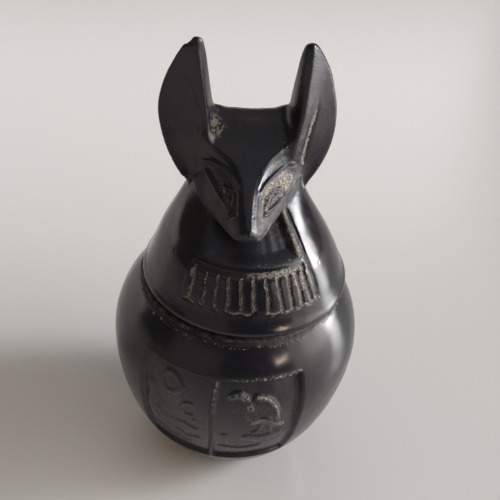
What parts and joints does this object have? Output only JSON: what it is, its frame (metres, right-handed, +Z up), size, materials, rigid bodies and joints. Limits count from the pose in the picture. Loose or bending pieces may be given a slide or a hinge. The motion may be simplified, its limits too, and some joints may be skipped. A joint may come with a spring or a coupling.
{
  "type": "canopic jar",
  "caption": "Small black stone canopic jar, egg-bellied hollow vessel with a carved front panel, under a lift-off jackal-head lid with tall ears and a barred collar.",
  "frame": {"origin": "centre of the round underside that the jar stands on", "axes": "+Z up along the jar, the jackal looks along -Y, +X is on the right of someone facing the jackal"},
  "size_m": [0.055, 0.0545, 0.0993],
  "materials": {
    "jar_stone": "polished black cast stone, dusty and matt in the cut panel",
    "lid_stone": "polished black cast stone, dusty and pitted in the carved lines"
  },
  "bodies": {
    "root": {"jar": "jar_stone", "lid": "lid_stone"}
  },
  "joints": []
}
